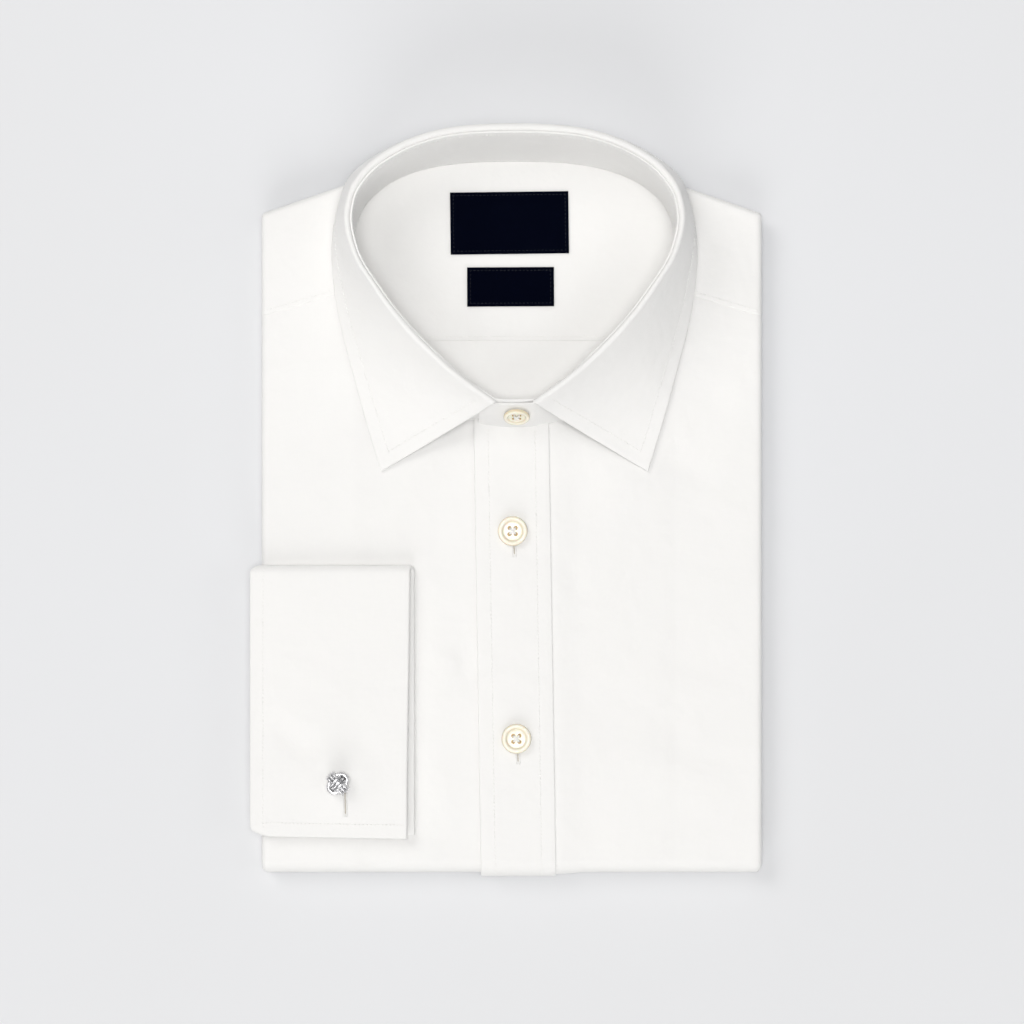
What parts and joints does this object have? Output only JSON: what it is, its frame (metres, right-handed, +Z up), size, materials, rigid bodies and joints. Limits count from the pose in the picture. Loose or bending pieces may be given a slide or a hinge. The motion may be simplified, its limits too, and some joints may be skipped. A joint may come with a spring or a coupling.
{
  "type": "folded long sleeve dress shirt",
  "caption": "White dress shirt folded flat, face up, with a standing collar, buttoned placket, woven labels and one French cuff laid on the front and closed with a knot cufflink.",
  "frame": {"origin": "middle of the shirt's box, on the surface that it lies on", "axes": "+X to the wearer's left, +Y from the bottom fold to the collar, +Z up off the surface, towards the front of the shirt"},
  "size_m": [0.2214, 0.324, 0.0464],
  "materials": {
    "white_cotton": "crisp fine-woven cotton, pressed, faint sheen",
    "navy_label": "dense woven satin label, navy",
    "cream_button": "pearly cream, polished",
    "silver": "polished silver knot"
  },
  "bodies": {
    "root": {"folded_layers": "white_cotton", "back": "white_cotton", "yoke_inner": "white_cotton", "front_right": "white_cotton", "front_left": "white_cotton", "placket": "white_cotton", "yoke": "white_cotton", "collar_stand": "white_cotton", "collar_leaf": "white_cotton", "cuff_right": "white_cotton", "sleeve_right": "white_cotton", "label_main": "navy_label", "label_size": "navy_label", "button_collar": "cream_button", "button_front_1": "cream_button", "button_front_2": "cream_button", "cufflink": "silver"}
  },
  "joints": []
}
